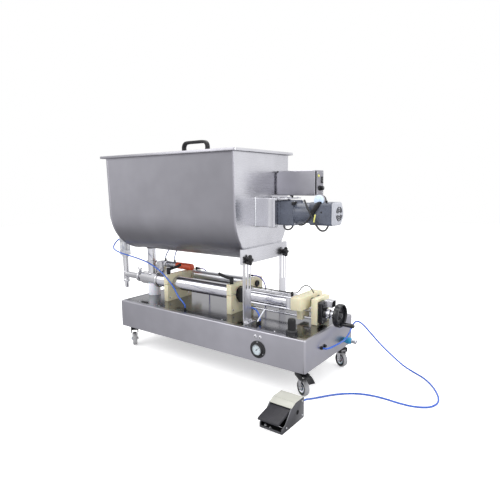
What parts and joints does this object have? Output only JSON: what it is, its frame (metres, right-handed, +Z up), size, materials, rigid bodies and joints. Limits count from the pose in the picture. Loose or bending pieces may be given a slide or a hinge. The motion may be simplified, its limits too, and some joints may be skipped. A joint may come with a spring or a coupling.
{
  "type": "piston filling machine",
  "caption": "Wheeled piston filling machine: a lidded mixing hopper feeds a rotary valve, horizontal material cylinder, air cylinder and drip-stop nozzle; foot pedal on a hose.",
  "frame": {"origin": "on the floor under the middle of the machine's footprint, pedal included and its free air tubes left out", "axes": "+X along the machine from the nozzle to the handwheel, +Y away from the operator, +Z up"},
  "size_m": [1.9803, 0.8818, 1.1616],
  "materials": {
    "stainless": "satin stainless steel sheet",
    "polished_steel": "polished stainless steel",
    "aluminium": "natural anodised",
    "cream": "machined cream plastic plate",
    "white_nylon": "turned white plastic",
    "black_plastic": "moulded black plastic",
    "black_rubber": "solid black tread",
    "grey_paint": "grey enamel",
    "light_grey": "light grey enamel",
    "blue_tube": "blue polyurethane air tube",
    "blue_brass": "blue anodised",
    "red_anodised": "orange-red anodised"
  },
  "bodies": {
    "machine_frame": {"base_cabinet": "stainless", "clamp_plate_left": "cream", "clamp_plate_middle": "cream", "material_cylinder": "polished_steel", "front_cap_with_gland": "black_plastic", "air_cylinder_barrel": "polished_steel", "rear_cap_with_tie_rods": "aluminium", "guide_rod": "polished_steel", "end_plate": "cream", "position_counter": "black_plastic", "side_air_cylinder": "aluminium", "valve_body": "stainless", "valve_actuator": "aluminium", "actuator_end_tube": "red_anodised", "cylinder_clamp": "stainless", "outlet_and_nozzle": "stainless", "outlet_clamp": "stainless", "nozzle_cylinder": "aluminium", "valve_post": "white_nylon", "hopper": "stainless", "hopper_bracket": "stainless", "leg_front": "stainless", "leg_rear": "stainless", "mixer_mount": "stainless", "gearbox": "grey_paint", "motor": "grey_paint", "fan_cover": "light_grey", "control_box": "stainless", "pressure_gauge": "black_plastic", "air_inlet": "blue_brass", "pedal_body": "grey_paint", "pedal_hose": "blue_tube", "front_air_tube": "blue_tube"},
    "lid": {"lid": "stainless", "lid_handle": "black_plastic"},
    "stirrer": {"stirrer": "stainless"},
    "filling_piston": {"piston_and_rod": "polished_steel"},
    "crosshead": {"crosshead": "cream"},
    "handwheel": {"handwheel_and_screw": "black_plastic"},
    "crank_grip": {"crank_grip": "black_plastic"},
    "clamp_lever_left": {"clamp_lever_left": "black_plastic"},
    "clamp_lever_middle": {"clamp_lever_middle": "black_plastic"},
    "valve_rotor": {"valve_rotor": "white_nylon"},
    "nozzle_pin": {"nozzle_pin": "stainless"},
    "star_knob_front": {"star_knob_front": "black_plastic"},
    "star_knob_rear": {"star_knob_rear": "black_plastic"},
    "caster_front_left": {"caster_fork_front_left": "stainless"},
    "wheel_front_left": {"caster_wheel_front_left": "black_rubber"},
    "caster_front_right": {"caster_fork_front_right": "stainless"},
    "wheel_front_right": {"caster_wheel_front_right": "black_rubber"},
    "caster_rear_left": {"caster_fork_rear_left": "stainless"},
    "wheel_rear_left": {"caster_wheel_rear_left": "black_rubber"},
    "caster_rear_right": {"caster_fork_rear_right": "stainless"},
    "wheel_rear_right": {"caster_wheel_rear_right": "black_rubber"},
    "brake_pedal": {"brake_pedal": "black_plastic"},
    "pedal_treadle": {"pedal_treadle": "black_plastic"},
    "speed_knob": {"speed_knob": "black_plastic"},
    "power_switch": {"power_switch": "black_plastic"},
    "regulator_knob": {"regulator_knob": "black_plastic"},
    "inlet_sleeve": {"inlet_sleeve": "blue_brass"}
  },
  "joints": [
    {"name": "lid_lift", "type": "slide", "parent": "machine_frame", "child": "lid", "axis": [0, 0, 1], "range_m": [0, 0.15]},
    {"name": "stirrer_spin", "type": "hinge", "parent": "machine_frame", "child": "stirrer", "pos_m": [0.43375, 0.1495, 0.789], "axis": [1, 0, 0], "continuous": true},
    {"name": "piston_stroke", "type": "slide", "parent": "machine_frame", "child": "filling_piston", "axis": [1, 0, 0], "range_m": [0, 0.2]},
    {"name": "crosshead_travel", "type": "slide", "parent": "machine_frame", "child": "crosshead", "axis": [1, 0, 0], "range_m": [0, 0.0201]},
    {"name": "handwheel_turn", "type": "hinge", "parent": "machine_frame", "child": "handwheel", "pos_m": [0.68425, 0.1615, 0.32], "axis": [1, 0, 0], "range_deg": [0, 3600]},
    {"name": "grip_spin", "type": "hinge", "parent": "handwheel", "child": "crank_grip", "pos_m": [0.72655, 0.143, 0.28796], "axis": [1, 0, 0], "continuous": true},
    {"name": "lever_left_swing", "type": "hinge", "parent": "machine_frame", "child": "clamp_lever_left", "pos_m": [-0.31055, 0.0665, 0.4173], "axis": [0, 0, 1], "range_deg": [-40, 80]},
    {"name": "lever_middle_swing", "type": "hinge", "parent": "machine_frame", "child": "clamp_lever_middle", "pos_m": [0.15245, 0.0665, 0.4173], "axis": [0, 0, 1], "range_deg": [-90, 60]},
    {"name": "valve_turn", "type": "hinge", "parent": "machine_frame", "child": "valve_rotor", "pos_m": [-0.50755, 0.1195, 0.36], "axis": [0, 1, 0], "range_deg": [0, 90]},
    {"name": "nozzle_pin_lift", "type": "slide", "parent": "machine_frame", "child": "nozzle_pin", "axis": [0, 0, 1], "range_m": [0, 0.022]},
    {"name": "knob_front_turn", "type": "hinge", "parent": "machine_frame", "child": "star_knob_front", "pos_m": [0.31205, -0.0135, 0.568], "axis": [1, 0, 0], "range_deg": [0, 360]},
    {"name": "knob_rear_turn", "type": "hinge", "parent": "machine_frame", "child": "star_knob_rear", "pos_m": [0.31205, 0.3085, 0.568], "axis": [1, 0, 0], "range_deg": [0, 360]},
    {"name": "swivel_front_left", "type": "hinge", "parent": "machine_frame", "child": "caster_front_left", "pos_m": [-0.49555, -0.0455, 0.112], "axis": [0, 0, 1], "continuous": true},
    {"name": "roll_front_left", "type": "hinge", "parent": "caster_front_left", "child": "wheel_front_left", "pos_m": [-0.47664, -0.06028, 0.0375], "axis": [-0.6157, -0.788, 0], "continuous": true},
    {"name": "swivel_front_right", "type": "hinge", "parent": "machine_frame", "child": "caster_front_right", "pos_m": [0.62445, -0.0455, 0.112], "axis": [0, 0, 1], "continuous": true},
    {"name": "roll_front_right", "type": "hinge", "parent": "caster_front_right", "child": "wheel_front_right", "pos_m": [0.64544, -0.05713, 0.0375], "axis": [-0.4848, -0.8746, 0], "continuous": true},
    {"name": "swivel_rear_left", "type": "hinge", "parent": "machine_frame", "child": "caster_rear_left", "pos_m": [-0.49555, 0.3445, 0.112], "axis": [0, 0, 1], "continuous": true},
    {"name": "roll_rear_left", "type": "hinge", "parent": "caster_rear_left", "child": "wheel_rear_left", "pos_m": [-0.51521, 0.33073, 0.0375], "axis": [-0.5736, 0.8192, 0], "continuous": true},
    {"name": "swivel_rear_right", "type": "hinge", "parent": "machine_frame", "child": "caster_rear_right", "pos_m": [0.62445, 0.3445, 0.112], "axis": [0, 0, 1], "continuous": true},
    {"name": "roll_rear_right", "type": "hinge", "parent": "caster_rear_right", "child": "wheel_rear_right", "pos_m": [0.6462, 0.33436, 0.0375], "axis": [-0.4226, -0.9063, 0], "continuous": true},
    {"name": "brake_press", "type": "hinge", "parent": "caster_front_right", "child": "brake_pedal", "pos_m": [0.66757, -0.0694, 0.0987], "axis": [-0.4848, -0.8746, 0], "range_deg": [-12, 0]},
    {"name": "treadle_press", "type": "hinge", "parent": "machine_frame", "child": "pedal_treadle", "pos_m": [0.68845, -0.2965, 0.066], "axis": [1, 0, 0], "range_deg": [0, 8], "stiffness_Nm_per_rad": 6, "springref_deg": -8.59},
    {"name": "speed_knob_turn", "type": "hinge", "parent": "machine_frame", "child": "speed_knob", "pos_m": [0.52155, 0.3145, 0.902], "axis": [1, 0, 0], "range_deg": [0, 270]},
    {"name": "power_switch_rock", "type": "hinge", "parent": "machine_frame", "child": "power_switch", "pos_m": [0.51975, 0.3365, 0.942], "axis": [0, 1, 0], "range_deg": [0, 12]},
    {"name": "regulator_turn", "type": "hinge", "parent": "machine_frame", "child": "regulator_knob", "pos_m": [0.58845, -0.0615, 0.2933], "axis": [0, 0, 1], "range_deg": [0, 720]},
    {"name": "inlet_sleeve_slide", "type": "slide", "parent": "machine_frame", "child": "inlet_sleeve", "axis": [1, 0, 0], "range_m": [0, 0.008]}
  ],
  "couplings": [
    {"joint": "crosshead_travel", "follows": "handwheel_turn", "m_per_rad": 0.00031831}
  ]
}
